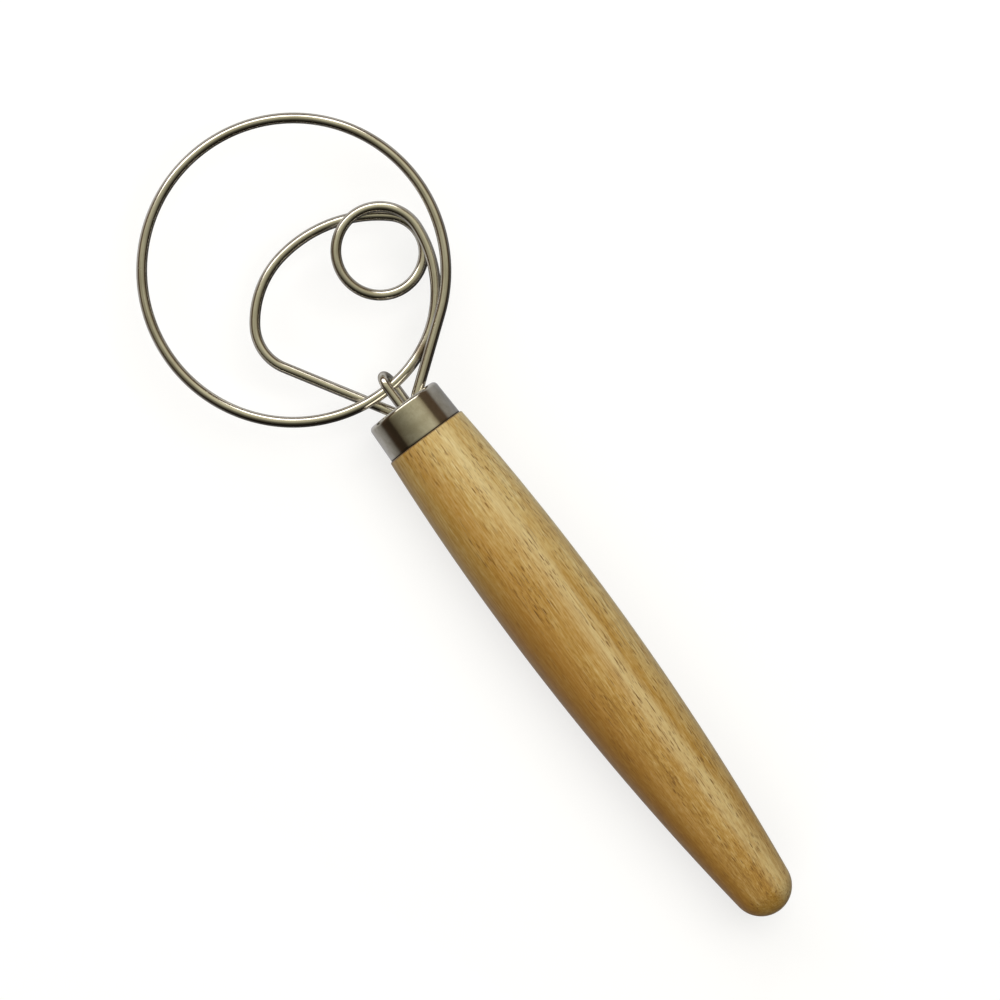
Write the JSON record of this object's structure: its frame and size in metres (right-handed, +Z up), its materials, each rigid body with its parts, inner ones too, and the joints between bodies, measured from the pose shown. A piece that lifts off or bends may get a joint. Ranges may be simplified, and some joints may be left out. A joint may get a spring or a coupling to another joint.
{
  "type": "dough whisk",
  "caption": "Dough whisk: one steel wire coiled into an open ring with an inner arc and a small loop, tied by a hook to a steel ferrule on a turned wooden handle.",
  "frame": {"origin": "bottom centre of the whole whisk's bounding box as it lies flat", "axes": "+Y along the handle's axis towards the wire head, +X to the right and +Z up, square to the ring"},
  "size_m": [0.1008, 0.3074, 0.0336],
  "materials": {
    "handle_wood": "satin lacquered beech",
    "ferrule_steel": "satin drawn stainless steel",
    "wire_steel": "polished stainless steel wire",
    "hook_steel": "polished stainless steel wire",
    "resin": "cured clear amber adhesive"
  },
  "bodies": {
    "root": {"handle": "handle_wood", "ferrule": "ferrule_steel", "whisk_wire": "wire_steel", "retaining_hook": "hook_steel", "resin_fill": "resin"}
  },
  "joints": []
}
